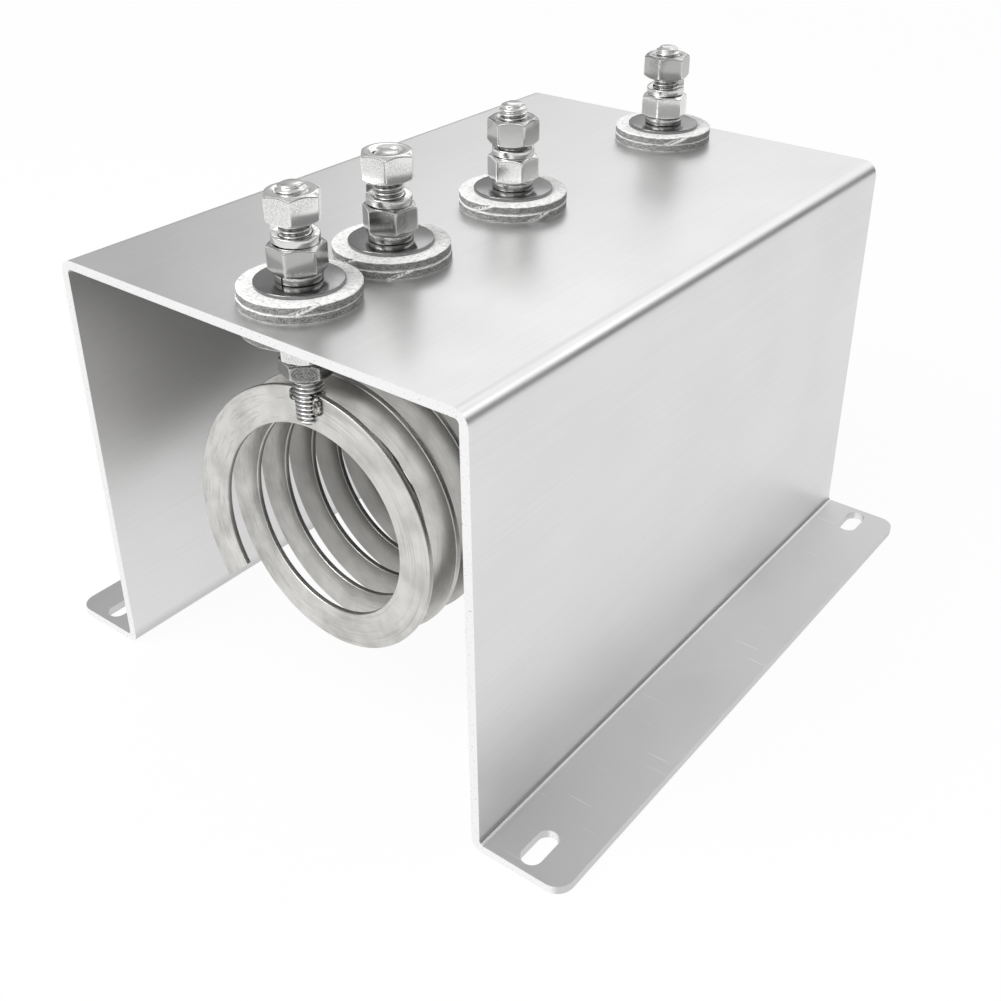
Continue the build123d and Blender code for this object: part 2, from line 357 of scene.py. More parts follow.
@dataclass(frozen=True)
class RolledAluminiumSheet:
    """Aluminium sheet, cold-rolled and left as it came from the mill.

    To the eye it is pale and satin: it mirrors the studs only as soft upright blurs, and the rolls have left
    faint streaks along Y. Its sheared ends are rougher and nearly white, with dark specks.
    """

    name: str = "mill_finish_rolled_aluminium"
    colour: str = "#E4E4E4"
    streak_colour: str = "#DEDEDE"
    scratch_colour: str = "#EEEEEE"
    foot_colour: str = "#CDCDCD"
    cut_colour: str = "#F8F8F8"
    speck_colour: str = "#A8A8A8"
    roughness: float = 0.34
    cut_roughness: float = 0.5
    roughness_of_marks: float = 0.02
    roughness_of_scratches: float = 0.08
    rolling_mark_mm: float = 0.9
    rolling_mark_length_mm: float = 70.0
    handling_mark_mm: float = 40.0
    scratch_mm: float = 0.6
    scratch_length_mm: float = 24.0
    shear_speck_mm: float = 0.7
    depth_mm: float = 0.0003
    cut_depth_share: float = 60.0
    cut_faces: Ramp = Ramp(0.80, 0.95)
    scratches: Ramp = Ramp(0.755, 0.80)
    specks: Ramp = Ramp(0.61, 0.71)
    streaks: Ramp = Ramp(0.35, 0.75, at_end=0.55)
    darker_by_height: Ramp = Ramp(3.6 * MM, 7.0 * MM, 1.0, 0.0)
    roughness_by_cloud: Ramp = Ramp(0.3, 0.7, 0.31, 0.38)

    def build(self) -> bpy.types.Material:
        """Makes the sheet's material.

        Returns:
            The material, with its patterns linked.
        """
        material, node, shader = start_material(self.name, self.colour, self.roughness)
        # The rolls' marks run along Y, and hands and tools have left wide, faint clouds and fine scratches.
        # The real marks and scratches are about 0.1 mm wide and are drawn coarser, so that they show
        marks = grain(node, (self.rolling_mark_mm, self.rolling_mark_length_mm, self.rolling_mark_mm), 3.0)
        clouds = grain(node, (self.handling_mark_mm,) * 3, 4.0)
        scratch_noise = grain(node, (self.scratch_length_mm, self.scratch_mm, self.scratch_mm), 1.0)
        scratches = node("ShaderNodeMapRange", None, self.scratches.over(scratch_noise))
        # The shear left the ends rough, with specks where the metal tore, drawn at about twice their real size
        cut = facing(node, "Y", self.cut_faces)
        torn = grain(node, (self.shear_speck_mm,) * 3, 4.0, 0.65)
        specks = node("ShaderNodeMapRange", None, self.specks.over(torn))
        streaks = node("ShaderNodeMapRange", None, self.streaks.over(marks))
        rolled_tone = node("ShaderNodeMix", COLOURS, {
            SHARE: streaks, COLOUR_A: linear(self.colour), COLOUR_B: linear(self.streak_colour)}, MIXED_COLOUR)
        # The sheet is drawn a little darker near the floor, over the feet
        place = node("ShaderNodeTexCoord", output="Object")
        height_above_floor = node("ShaderNodeSeparateXYZ", None, {"Vector": place}, "Z")
        near_floor = node("ShaderNodeMapRange", None, self.darker_by_height.over(height_above_floor))
        foot_tone = node("ShaderNodeMix", COLOURS, {
            SHARE: near_floor, COLOUR_A: rolled_tone, COLOUR_B: linear(self.foot_colour)}, MIXED_COLOUR)
        scratched_tone = node("ShaderNodeMix", COLOURS, {
            SHARE: scratches, COLOUR_A: foot_tone, COLOUR_B: linear(self.scratch_colour)}, MIXED_COLOUR)
        cut_tone = node("ShaderNodeMix", COLOURS, {
            SHARE: specks, COLOUR_A: linear(self.cut_colour), COLOUR_B: linear(self.speck_colour)}, MIXED_COLOUR)
        tone = node("ShaderNodeMix", COLOURS, {
            SHARE: cut, COLOUR_A: scratched_tone, COLOUR_B: cut_tone}, MIXED_COLOUR)
        satin = node("ShaderNodeMapRange", None, self.roughness_by_cloud.over(clouds))
        marked = node("ShaderNodeMath", {"operation": "MULTIPLY_ADD"}, {
            0: marks, 1: self.roughness_of_marks, 2: satin})
        scratched = node("ShaderNodeMath", {"operation": "MULTIPLY_ADD"}, {
            0: scratches, 1: self.roughness_of_scratches, 2: marked})
        rough = node("ShaderNodeMix", NUMBERS, {SHARE: cut, NUMBER_A: scratched, NUMBER_B: self.cut_roughness})
        furrows = node("ShaderNodeMath", {"operation": "ADD"}, {0: marks, 1: scratches})
        coarse = node("ShaderNodeMath", {"operation": "MULTIPLY"}, {0: torn, 1: self.cut_depth_share})
        height = node("ShaderNodeMix", NUMBERS, {SHARE: cut, NUMBER_A: furrows, NUMBER_B: coarse})
        link_patterns(node, shader, self.depth_mm, height, tone, rough)
        return material


@dataclass(frozen=True)
class RolledResistanceStrip:
    """Iron-chromium resistance alloy, cold-rolled to strip and bent on edge.

    To the eye it is a warm satin grey, smudged by handling, with short draw lines that follow each turn.
    """

    name: str = "cold_rolled_iron_chromium_strip"
    colour: str = "#DDDCD9"
    smudge_colour: str = "#B8B7B4"
    draw_line_colour: str = "#92918E"
    # Painted shade: the colour of the turns behind the front one
    inner_turn_shade_colour: str = "#8E8D8A"
    roughness: float = 0.32
    draw_line_mm: float = 0.8
    draw_line_length_mm: float = 30.0
    smudge_mm: float = 11.0
    pit_mm: float = 0.9
    pit_depth_share: float = 0.5
    depth_mm: float = 0.02
    roughness_of_lines: float = 0.08
    axis_height_mm: float = 79.6
    middle_radius_mm: float = 42.75
    smudges: Ramp = Ramp(0.40, 0.72, at_end=0.80)
    draw_lines: Ramp = Ramp(0.50, 0.72, at_end=0.40)
    # Painted shade by place along Y, from the front turn inwards
    painted_shade_by_depth: Ramp = Ramp(-98 * MM, -66 * MM, at_end=0.80)
    roughness_by_smudge: Ramp = Ramp(0.3, 0.7, 0.29, 0.37)

    def build(self) -> bpy.types.Material:
        """Makes the strip's material.

        Returns:
            The material, with its patterns linked.
        """
        material, node, shader = start_material(self.name, self.colour, self.roughness)
        place = node("ShaderNodeTexCoord", output="Object")
        from_axis = node("ShaderNodeVectorMath", {"operation": "SUBTRACT"}, {
            0: place, 1: (0.0, 0.0, self.axis_height_mm * MM)})
        parts = node("ShaderNodeSeparateXYZ", None, {"Vector": from_axis}).node.outputs
        flat = node("ShaderNodeCombineXYZ", None, {"X": parts["X"], "Y": parts["Z"]})
        radius = node("ShaderNodeVectorMath", {"operation": "LENGTH"}, {0: flat}, "Value")
        angle = node("ShaderNodeMath", {"operation": "ARCTAN2"}, {0: parts["X"], 1: parts["Z"]})
        # The lines' coordinates are radius, length round the turn and place along the coil. The real lines are
        # about 0.1 mm wide and are drawn coarser, so that they show
        line = 1 / (self.draw_line_mm * MM)
        round_turn = self.middle_radius_mm / self.draw_line_length_mm
        ring = node("ShaderNodeCombineXYZ", None, {
            "X": node("ShaderNodeMath", {"operation": "MULTIPLY"}, {0: radius, 1: line}),
            "Y": node("ShaderNodeMath", {"operation": "MULTIPLY"}, {0: angle, 1: round_turn}),
            "Z": node("ShaderNodeMath", {"operation": "MULTIPLY"}, {0: parts["Y"], 1: line})})
        lines = node("ShaderNodeTexNoise", None, {"Vector": ring, "Scale": 1.0, "Detail": 3.0, "Roughness": 0.6})
        smudges = grain(node, (self.smudge_mm,) * 3, 4.0)
        pits = grain(node, (self.pit_mm,) * 3, 3.0)
        smudged = node("ShaderNodeMapRange", None, self.smudges.over(smudges))
        tone = node("ShaderNodeMix", COLOURS, {
            SHARE: smudged, COLOUR_A: linear(self.colour), COLOUR_B: linear(self.smudge_colour)}, MIXED_COLOUR)
        drawn = node("ShaderNodeMapRange", None, self.draw_lines.over(lines))
        lined = node("ShaderNodeMix", COLOURS, {
            SHARE: drawn, COLOUR_A: tone, COLOUR_B: linear(self.draw_line_colour)}, MIXED_COLOUR)
        # The turns behind the front one are drawn darker by their place along Y, as painted shade inside the coil
        depth_shade = node("ShaderNodeMapRange", None, self.painted_shade_by_depth.over(parts["Y"]))
        depth_shaded_tone = node("ShaderNodeMix", COLOURS, {
            SHARE: depth_shade, COLOUR_A: lined, COLOUR_B: linear(self.inner_turn_shade_colour)}, MIXED_COLOUR)
        satin = node("ShaderNodeMapRange", None, self.roughness_by_smudge.over(smudges))
        rough = node("ShaderNodeMath", {"operation": "MULTIPLY_ADD"}, {
            0: lines, 1: self.roughness_of_lines, 2: satin})
        height = node("ShaderNodeMath", {"operation": "MULTIPLY_ADD"}, {
            0: pits, 1: self.pit_depth_share, 2: lines})
        link_patterns(node, shader, self.depth_mm, height, depth_shaded_tone, rough)
        return material


@dataclass(frozen=True)
class ZincPlating:
    """Steel, electroplated with zinc.

    To the eye it mirrors the room, with patches of fine dull specks where the plating took unevenly over the
    forged or rolled steel. The nuts' raised edges carry a painted highlight, drawn in a brighter colour.
    """

    name: str = "bright_zinc_on_forged_steel"
    colour: str = "#E8E8E7"
    speck_colour: str = "#CFCFCD"
    # The colour of the painted highlight on raised edges
    edge_highlight_colour: str = "#FBFBFA"
    roughness: float = 0.12
    dulled_by: float = 0.12
    speckle_mm: float = 0.35
    patch_mm: float = 14.0
    depth_mm: float = 0.004
    patches: Ramp = Ramp(0.42, 0.50)
    specks: Ramp = Ramp(0.44, 0.58)
    painted_edge_highlights: Ramp = Ramp(0.51, 0.56)

    def build(self) -> bpy.types.Material:
        """Makes the plating's material.

        Returns:
            The material, with its patterns linked.
        """
        material, node, shader = start_material(self.name, self.colour, self.roughness)
        # The real specks are about 0.1 mm wide and are drawn coarser, so that they show
        speckle = grain(node, (self.speckle_mm,) * 3, 2.0, 0.6)
        patches = grain(node, (self.patch_mm,) * 3, 1.0)
        patchy = node("ShaderNodeMapRange", None, self.patches.over(patches))
        specks = node("ShaderNodeMapRange", None, self.specks.over(speckle))
        dull = node("ShaderNodeMath", {"operation": "MULTIPLY"}, {0: specks, 1: patchy})
        face_tone = node("ShaderNodeMix", COLOURS, {
            SHARE: dull, COLOUR_A: linear(self.colour), COLOUR_B: linear(self.speck_colour)}, MIXED_COLOUR)
        # The raised edges are painted bright by their pointiness, as a painted highlight
        pointed = node("ShaderNodeNewGeometry", output="Pointiness")
        edge = node("ShaderNodeMapRange", None, self.painted_edge_highlights.over(pointed))
        tone = node("ShaderNodeMix", COLOURS, {
            SHARE: edge, COLOUR_A: face_tone, COLOUR_B: linear(self.edge_highlight_colour)}, MIXED_COLOUR)
        rough = node("ShaderNodeMath", {"operation": "MULTIPLY_ADD"}, {
            0: dull, 1: self.dulled_by, 2: self.roughness})
        height = node("ShaderNodeMath", {"operation": "MULTIPLY"}, {0: speckle, 1: patchy})
        link_patterns(node, shader, self.depth_mm, height, tone, rough)
        return material


@dataclass(frozen=True)
class DarkGroovedThread:
    """Zinc-plated steel with a cut thread, whose roots are drawn dark in patches.

    To the eye its crests are bright and worn, and the grooves between them are nearly black.
    """

    axis_mm: tuple[float, float]
    top_mm: float
    name: str = "dark_grooved_zinc_plated_thread"
    crest_colour: str = "#E4E4E3"
    root_colour: str = "#4C4B49"
    roughness: float = 0.19
    dulled_by: float = 0.2
    crest_radius_mm: float = 4.85
    root_radius_mm: float = 4.3
    groove_patch_mm: float = 1.6
    plain_tip_mm: float = 4.5
    depth_mm: float = 0.008
    groove_patches: Ramp = Ramp(0.3, 0.7, 0.5, 1.0)

    def build(self) -> bpy.types.Material:
        """Makes the thread's material.

        Returns:
            The material, with its patterns linked.
        """
        material, node, shader = start_material(self.name, self.crest_colour, self.roughness)
        place = node("ShaderNodeTexCoord", output="Object")
        across = node("ShaderNodeVectorMath", {"operation": "MULTIPLY_ADD"}, {
            0: place, 1: (1.0, 1.0, 0.0), 2: (-self.axis_mm[0] * MM, -self.axis_mm[1] * MM, 0.0)})
        radius = node("ShaderNodeVectorMath", {"operation": "LENGTH"}, {0: across}, "Value")
        depths = Ramp(self.root_radius_mm * MM, self.crest_radius_mm * MM, 1.0, 0.0)
        groove = node("ShaderNodeMapRange", None, depths.over(radius))
        height = node("ShaderNodeSeparateXYZ", None, {"Vector": place}, "Z")
        heights = Ramp((self.top_mm - self.plain_tip_mm) * MM, (self.top_mm - self.plain_tip_mm / 2) * MM, 1.0, 0.1)
        below_tip = node("ShaderNodeMapRange", None, heights.over(height))
        # The grooves are drawn dark in patches, by their depth below the crests
        groove_noise = grain(node, (self.groove_patch_mm,) * 3, 3.0)
        patchy = node("ShaderNodeMapRange", None, self.groove_patches.over(groove_noise))
        dark_grooves = node("ShaderNodeMath", {"operation": "MULTIPLY"}, {0: groove, 1: patchy})
        # The dark grooves fade out over the tip, which stays bright
        share = node("ShaderNodeMath", {"operation": "MULTIPLY"}, {0: dark_grooves, 1: below_tip})
        tone = node("ShaderNodeMix", COLOURS, {
            SHARE: share, COLOUR_A: linear(self.crest_colour), COLOUR_B: linear(self.root_colour)}, MIXED_COLOUR)
        rough = node("ShaderNodeMath", {"operation": "MULTIPLY_ADD"}, {
            0: share, 1: self.dulled_by, 2: self.roughness})
        link_patterns(node, shader, self.depth_mm, groove_noise, tone, rough)
        return material


@dataclass(frozen=True)
class LayeredMica:
    """Mica splittings, bonded and pressed to board, then punched.

    To the eye its faces are matt white with grey fibrous mottling, and its rims show the layers: grey, flaky
    and speckled, with a thin white line where the punch has frayed each edge.
    """

    name: str = "pressed_layered_mica"
    colour: str = "#FAFAF9"
    mottle_colour: str = "#A6A6A4"
    rim_colour: str = "#5E5E5D"
    flake_colour: str = "#B4B4B2"
    roughness: float = 0.6
    ior: float = 1.58
    fibre_mm: float = 0.5
    fibre_length_mm: float = 2.2
    layer_mm: float = 0.2
    layer_length_mm: float = 2.0
    speckle_mm: float = 0.45
    depth_mm: float = 0.09
    flat_faces: Ramp = Ramp(0.12, 0.45)
    mottles: Ramp = Ramp(0.50, 0.76)
    flakes: Ramp = Ramp(0.86, 1.22)

    def build(self) -> bpy.types.Material:
        """Makes the mica's material.

        Returns:
            The material, with its patterns linked.
        """
        material, node, shader = start_material(self.name, self.colour, self.roughness, 0.0)
        shader.inputs["IOR"].default_value = self.ior
        face = facing(node, "Z", self.flat_faces)
        # The real fibres are about 0.1 mm wide and the layers 0.03 mm thick. Both are drawn coarser, so that
        # they show
        fibres = node("ShaderNodeMath", {"operation": "MAXIMUM"}, {
            0: grain(node, (self.fibre_mm, self.fibre_length_mm, self.fibre_mm), 3.0, 0.6),
            1: grain(node, (self.fibre_length_mm, self.fibre_mm, self.fibre_mm), 3.0, 0.6)})
        mottles = node("ShaderNodeMapRange", None, self.mottles.over(fibres))
        face_tone = node("ShaderNodeMix", COLOURS, {
            SHARE: mottles, COLOUR_A: linear(self.colour), COLOUR_B: linear(self.mottle_colour)}, MIXED_COLOUR)
        layers = grain(node, (self.layer_length_mm, self.layer_length_mm, self.layer_mm), 3.0, 0.7)
        speckle = grain(node, (self.speckle_mm,) * 3, 3.0, 0.7)
        flaky = node("ShaderNodeMath", {"operation": "ADD"}, {0: layers, 1: speckle})
        flakes = node("ShaderNodeMapRange", None, self.flakes.over(flaky))
        rim_tone = node("ShaderNodeMix", COLOURS, {
            SHARE: flakes, COLOUR_A: linear(self.rim_colour), COLOUR_B: linear(self.flake_colour)}, MIXED_COLOUR)
        tone = node("ShaderNodeMix", COLOURS, {SHARE: face, COLOUR_A: rim_tone, COLOUR_B: face_tone}, MIXED_COLOUR)
        height = node("ShaderNodeMix", NUMBERS, {SHARE: face, NUMBER_A: flaky, NUMBER_B: fibres})
        link_patterns(node, shader, self.depth_mm, height, tone)
        return material


@dataclass(frozen=True)
class WeldMetal:
    """Arc weld metal, frozen as it ran.

    To the eye it is bright where it froze smooth, and dull and heat-tinted brown-grey towards its toes.
    """

    name: str = "arc_weld_metal"
    colour: str = "#CFCECA"
    tint_colour: str = "#4F4D49"
    roughness: float = 0.24
    ripple_mm: float = 0.9
    depth_mm: float = 0.14
    heat_tints: Ramp = Ramp(0.38, 0.56)
    roughness_by_ripple: Ramp = Ramp(0.3, 0.7, 0.16, 0.42)

    def build(self) -> bpy.types.Material:
        """Makes the weld metal's material.

        Returns:
            The material, with its patterns linked.
        """
        material, node, shader = start_material(self.name, self.colour, self.roughness)
        ripples = grain(node, (self.ripple_mm,) * 3, 4.0, 0.6)
        tinted = node("ShaderNodeMapRange", None, self.heat_tints.over(ripples))
        tone = node("ShaderNodeMix", COLOURS, {
            SHARE: tinted, COLOUR_A: linear(self.colour), COLOUR_B: linear(self.tint_colour)}, MIXED_COLOUR)
        rough = node("ShaderNodeMapRange", None, self.roughness_by_ripple.over(ripples))
        link_patterns(node, shader, self.depth_mm, ripples, tone, rough)
        return material


def make_finishes() -> dict[Finish, bpy.types.Material]:
    """Makes the finishes that several pieces share.

    Returns:
        The materials by finish. Each stud makes its own, because its grooves are found from its axis.
    """
    # Only the nuts carry the painted edge highlight, and the washers under them do not
    no_edge_highlights = Ramp(0.51, 0.56, at_end=0.0)
    return {
        Finish.SHEET: RolledAluminiumSheet().build(),
        Finish.STRIP: RolledResistanceStrip().build(),
        Finish.NUT: ZincPlating().build(),
        Finish.DULL_NUT: ZincPlating(
            name="dull_zinc_on_forged_steel", colour="#B2B2B0", speck_colour="#8A8A88", roughness=0.14).build(),
        # The jam nuts under the plate take this darker copy of the plating, as painted shade
        Finish.SHADED_UNDER_NUT: ZincPlating(
            name="shaded_zinc_on_forged_steel", colour="#929290", speck_colour="#585856", roughness=0.18).build(),
        Finish.WASHER: ZincPlating(
            name="bright_zinc_on_punched_steel", colour="#8E8E8E", speck_colour="#808080", painted_edge_highlights=no_edge_highlights,
            roughness=0.14, depth_mm=0.001).build(),
        Finish.SPRING: ZincPlating(
            name="bright_zinc_on_spring_steel", colour="#DEDEDC", speck_colour="#B2B2B0", painted_edge_highlights=no_edge_highlights,
            roughness=0.15, depth_mm=0.003).build(),
        Finish.MICA: LayeredMica().build(),
        Finish.WELD: WeldMetal().build(),
    }


def wear(piece: bpy.types.Object, node: str) -> None:
    """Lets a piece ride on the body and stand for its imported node.

    Args:
        piece: The new piece.
        node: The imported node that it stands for.
    """
    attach(piece, "root")
    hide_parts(node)
    log.info("%s stands for %s", piece.name, node)


def dress(node: str, material: bpy.types.Material) -> None:
    """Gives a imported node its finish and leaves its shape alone.

    Args:
        node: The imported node's name.
        material: Its finish.
    """
    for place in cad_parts[node].material_slots:
        place.material = material
    log.info("%s keeps its packed shape", node)


# The object's pieces


@dataclass
class Bracket:
    """The folded sheet, as packed, in its rolled finish."""

    finishes: dict[Finish, bpy.types.Material]

    def build(self) -> None:
        """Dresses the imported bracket."""
        dress("bracket", self.finishes[Finish.SHEET])


@dataclass
class ResistanceCoil:
    """Flat strip wound on edge, clockwise as it goes back, through the kerf of every stud."""

    finishes: dict[Finish, bpy.types.Material]
    strip_width: float = 12.9
    strip_thickness: float = 2.1
    edge_radius: float = 0.45
    tail_degrees: float = 132.0
    tail_pitch: float = 15.0
    lean_degrees: float = 3.3
    kerf_offsets: tuple[float, ...] = (1.2, 2.2, 1.8, 1.8)
    turns_between_studs: tuple[int, ...] = (3, 5, 7)
    steps_per_turn: int = 150

    def path(self) -> list[tuple[float, float]]:
        """Follows the strip's middle from end to end.

        Returns:
            Angles from the top, in radians, each with its place along Y.
        """
        studs = [sum(box_mm(f"stud_{k + 1}"), Vector()) / 2 for k in range(TERMINAL_COUNT)]
        kerfs = [stud.y - offset for stud, offset in zip(studs, self.kerf_offsets)]
        tail = self.tail_degrees / 360
        runs = [(-tail, kerfs[0] - tail * self.tail_pitch, 0.0, kerfs[0])]
        turn = 0
        for this_y, next_y, turns in zip(kerfs, kerfs[1:], self.turns_between_studs):
            runs.append((turn, this_y, turn + turns, next_y))
            turn += turns
        runs.append((turn, kerfs[-1], turn + tail, kerfs[-1] + tail * self.tail_pitch))
        points = []
        for turn_a, y_a, turn_b, y_b in runs:
            steps = round((turn_b - turn_a) * self.steps_per_turn)
            points += [
                (turn_a + (turn_b - turn_a) * i / steps, y_a + (y_b - y_a) * i / steps) for i in range(steps)]
        last_turn, last_y = runs[-1][2:]
        return [(2 * math.pi * t, y) for t, y in points + [(last_turn, last_y)]]

    def build(self) -> None:
        """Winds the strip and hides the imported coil."""
        low, high = box_mm("resistance_coil")
        middle_height = (low.z + high.z) / 2
        middle_radius = (high.z - low.z) / 2 - self.strip_width / 2
        lean = math.tan(math.radians(self.lean_degrees))
        section = rounded_bar(self.strip_width, self.strip_thickness, self.edge_radius)
        rings = []
        for angle, y in self.path():
            outward = Vector((math.sin(angle), 0.0, math.cos(angle)))
            ring = []
            for radial, axial in section:
                place = Vector((0.0, y + axial, middle_height)) + outward * (middle_radius + radial)
                place.y += lean * (place.z - middle_height - middle_radius)
                ring.append(place)
            rings.append(ring)
        points, faces = loft(rings, capped=True)
        piece = mesh_piece("wound_strip", points, faces, self.finishes[Finish.STRIP])
        wear(piece, "resistance_coil")


@dataclass
class ThreadedStud:
    """A stud threaded over its whole length, with a domed top and a kerf in its foot."""

    number: int
    kerf_offset: float
    pitch: float = 1.5
    crest_radius: float = 4.95
    root_radius: float = 4.15
    crest_share: float = 0.14
    flank_share: float = 0.62
    tip_radius: float = 2.2
    dome_height: float = 3.0
    tip_groove_share: float = 0.55
    foot_chamfer: float = 0.5
    ring_spacing: float = 0.15
    points_round: int = 56
    kerf_width: float = 3.5
    kerf_top: float = 128.8
    sharp_degrees: float = 75.0

    def radius_at(self, angle: float, height: float, top: float, foot: float) -> float:
        """Finds the thread's radius.

        Args:
            angle: The angle round the stud, in radians.
            height: The height there, in millimetres.
            top: The height of the stud's upper end.
            foot: The height of its lower end.

        Returns:
            The radius in millimetres.
        """
        # From 0 on the middle of the crest to 1 in the middle of the groove
        phase = (height / self.pitch - angle / (2 * math.pi)) % 1.0
        from_crest = abs(phase - 0.5) * 2
        ramp = min(max((from_crest - self.crest_share) / self.flank_share, 0.0), 1.0)
        below_top = min((top - height) / self.dome_height, 1.0)
        dome = self.tip_radius + (self.crest_radius - self.tip_radius) * math.sqrt(1 - (1 - below_top) ** 2)
        # The grooves grow shallower over the dome
        depth_share = self.tip_groove_share * (1 - below_top) + below_top
        groove = (self.crest_radius - self.root_radius) * ramp * depth_share
        foot_limit = self.crest_radius - max(self.foot_chamfer - (height - foot), 0.0)
        return min(dome - groove, foot_limit)

    def build(self) -> None:
        """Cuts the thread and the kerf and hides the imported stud."""
        node = f"stud_{self.number}"
        low, high = box_mm(node)
        centre = (low + high) / 2
        count = round((high.z - low.z) / self.ring_spacing)
        rings = []
        for step in range(count + 1):
            height = low.z + (high.z - low.z) * step / count
            radii = [self.radius_at(angle, height, high.z, low.z) for angle in even_angles(self.points_round)]
            rings.append(level_ring(centre, height, radii))
        points, faces = loft(rings, capped=True)
        finish_name = f"dark_grooved_zinc_plated_thread_{self.number}"
        material = DarkGroovedThread((centre.x, centre.y), high.z, finish_name).build()
        piece = mesh_piece(f"threaded_stud_{self.number}", points, faces, material, self.sharp_degrees)
        self.saw_kerf(piece, centre, low.z)
        wear(piece, node)

    def saw_kerf(self, piece: bpy.types.Object, centre: Vector, foot: float) -> None:
        """Cuts the kerf that straddles the strip up into the stud's foot.

        Args:
            piece: The threaded stud.
            centre: The stud's middle, in millimetres.
            foot: The height of its lower end, in millimetres.
        """
        saw_mesh = bpy.data.meshes.new("saw")
        bm = bmesh.new()
        bmesh.ops.create_cube(bm, size=1.0)
        bm.to_mesh(saw_mesh)
        bm.free()
        saw = bpy.data.objects.new("saw", saw_mesh)
        bpy.context.scene.collection.objects.link(saw)
        # The saw is wider than the stud, and reaches as far below its foot as into it
        depth = 2 * (self.kerf_top - foot)
        saw.scale = (4 * self.crest_radius * MM, self.kerf_width * MM, depth * MM)
        saw.location = Vector((centre.x, centre.y - self.kerf_offset, foot)) * MM
        bpy.context.view_layer.update()
        cut = piece.modifiers.new("kerf", "BOOLEAN")
        cut.operation = "DIFFERENCE"
        cut.solver = "EXACT"
        cut.object = saw
        apply_modifiers(piece)
        bpy.data.objects.remove(saw)


@dataclass
class HexNut:
    """A hexagon nut with chamfered corners, softened edges and a countersunk bore."""

    node: str
    turn: float
    material: bpy.types.Material
    across_flats: float = 16.0
    face_radius: float = 7.5
    chamfer_degrees: float = 30.0
    corner_radius: float = 0.7
    bore_radius: float = 4.6
    countersink_radius: float = 5.55
    edge_softness: float = 0.32
    points_per_flat: int = 14
    corner_steps: tuple[float, ...] = (15.0, 30.0, 45.0)
    sharp_degrees: float = 32.0

    def outline(self) -> list[Vector]:
        """Draws the hexagon round its axis, its corners rounded.

        Returns:
            The outline's points.
        """
        apothem = self.across_flats / 2
        half_side_degrees = 30
        half_flat = (apothem - self.corner_radius) * math.tan(math.radians(half_side_degrees))
        points = []
        for side in range(6):
            middle = math.radians(self.turn + (2 * side + 1) * half_side_degrees)
            normal = Vector((math.cos(middle), math.sin(middle), 0.0))
            tangent = Vector((-normal.y, normal.x, 0.0))
            for i in range(self.points_per_flat):
                along = half_flat * (2 * i / (self.points_per_flat - 1) - 1)
                points.append(normal * apothem + tangent * along)
            corner = normal * (apothem - self.corner_radius) + tangent * half_flat
            for step in self.corner_steps:
                swing = middle + math.radians(step)
                points.append(corner + Vector((math.cos(swing), math.sin(swing), 0.0)) * self.corner_radius)
        return points

    def profile(self, reach: float, height: float) -> list[tuple[float, float]]:
        """Draws the upper half's profile at one place of the outline, from the side's middle to the bore.

        Args:
            reach: The outline's distance from the axis there.
            height: Half the nut's height.

        Returns:
            Radii and heights over the nut's middle.
        """
        slope = math.radians(self.chamfer_degrees)
        edge = height - max(reach - self.face_radius, 0.0) * math.tan(slope)
        soft = self.edge_softness
        # Each edge gives way to two or three short facets, whose lengths are shares of the softness
        return [
            (reach, 0.0),
            (reach, edge - soft * 1.4),
            (reach - soft * 0.14, edge - soft * 0.5),
            (reach - soft * 0.45 * math.cos(slope), edge + soft * 0.18),
            (reach - soft * 1.3 * math.cos(slope), edge + soft * 1.3 * math.sin(slope)),
            (self.face_radius + soft, height - soft * math.sin(slope) * 1.1),
            (self.face_radius, height - soft * 0.1),
            (self.face_radius - soft, height),
            (self.countersink_radius + soft * 0.5, height),
            (self.countersink_radius - soft * 0.4, height - soft * 0.3),
            (self.bore_radius, height - (self.countersink_radius - self.bore_radius)),
        ]

    def build(self) -> None:
        """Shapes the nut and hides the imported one."""
        low, high = box_mm(self.node)
        centre = (low + high) / 2
        half = (high.z - low.z) / 2
        outline = self.outline()
        upper = [self.profile(place.length, half) for place in outline]
        levels = range(len(upper[0]))
        sides = [(1, level) for level in levels] + [(-1, level) for level in reversed(levels) if level > 0]
        rings = []
        for sign, level in sides:
            rings.append([
                centre + place.normalized() * upper[i][level][0] + Vector((0.0, 0.0, sign * upper[i][level][1]))
                for i, place in enumerate(outline)])
        points, faces = loft(rings, joined_ends=True)
        name = self.node.replace("nut", "hex_nut")
        piece = mesh_piece(name, points, faces, self.material, self.sharp_degrees)
        wear(piece, self.node)


class Hand(Enum):
    """The way a spring washer climbs, as the sign of its turn seen from above."""

    LEFT = -1
    RIGHT = 1


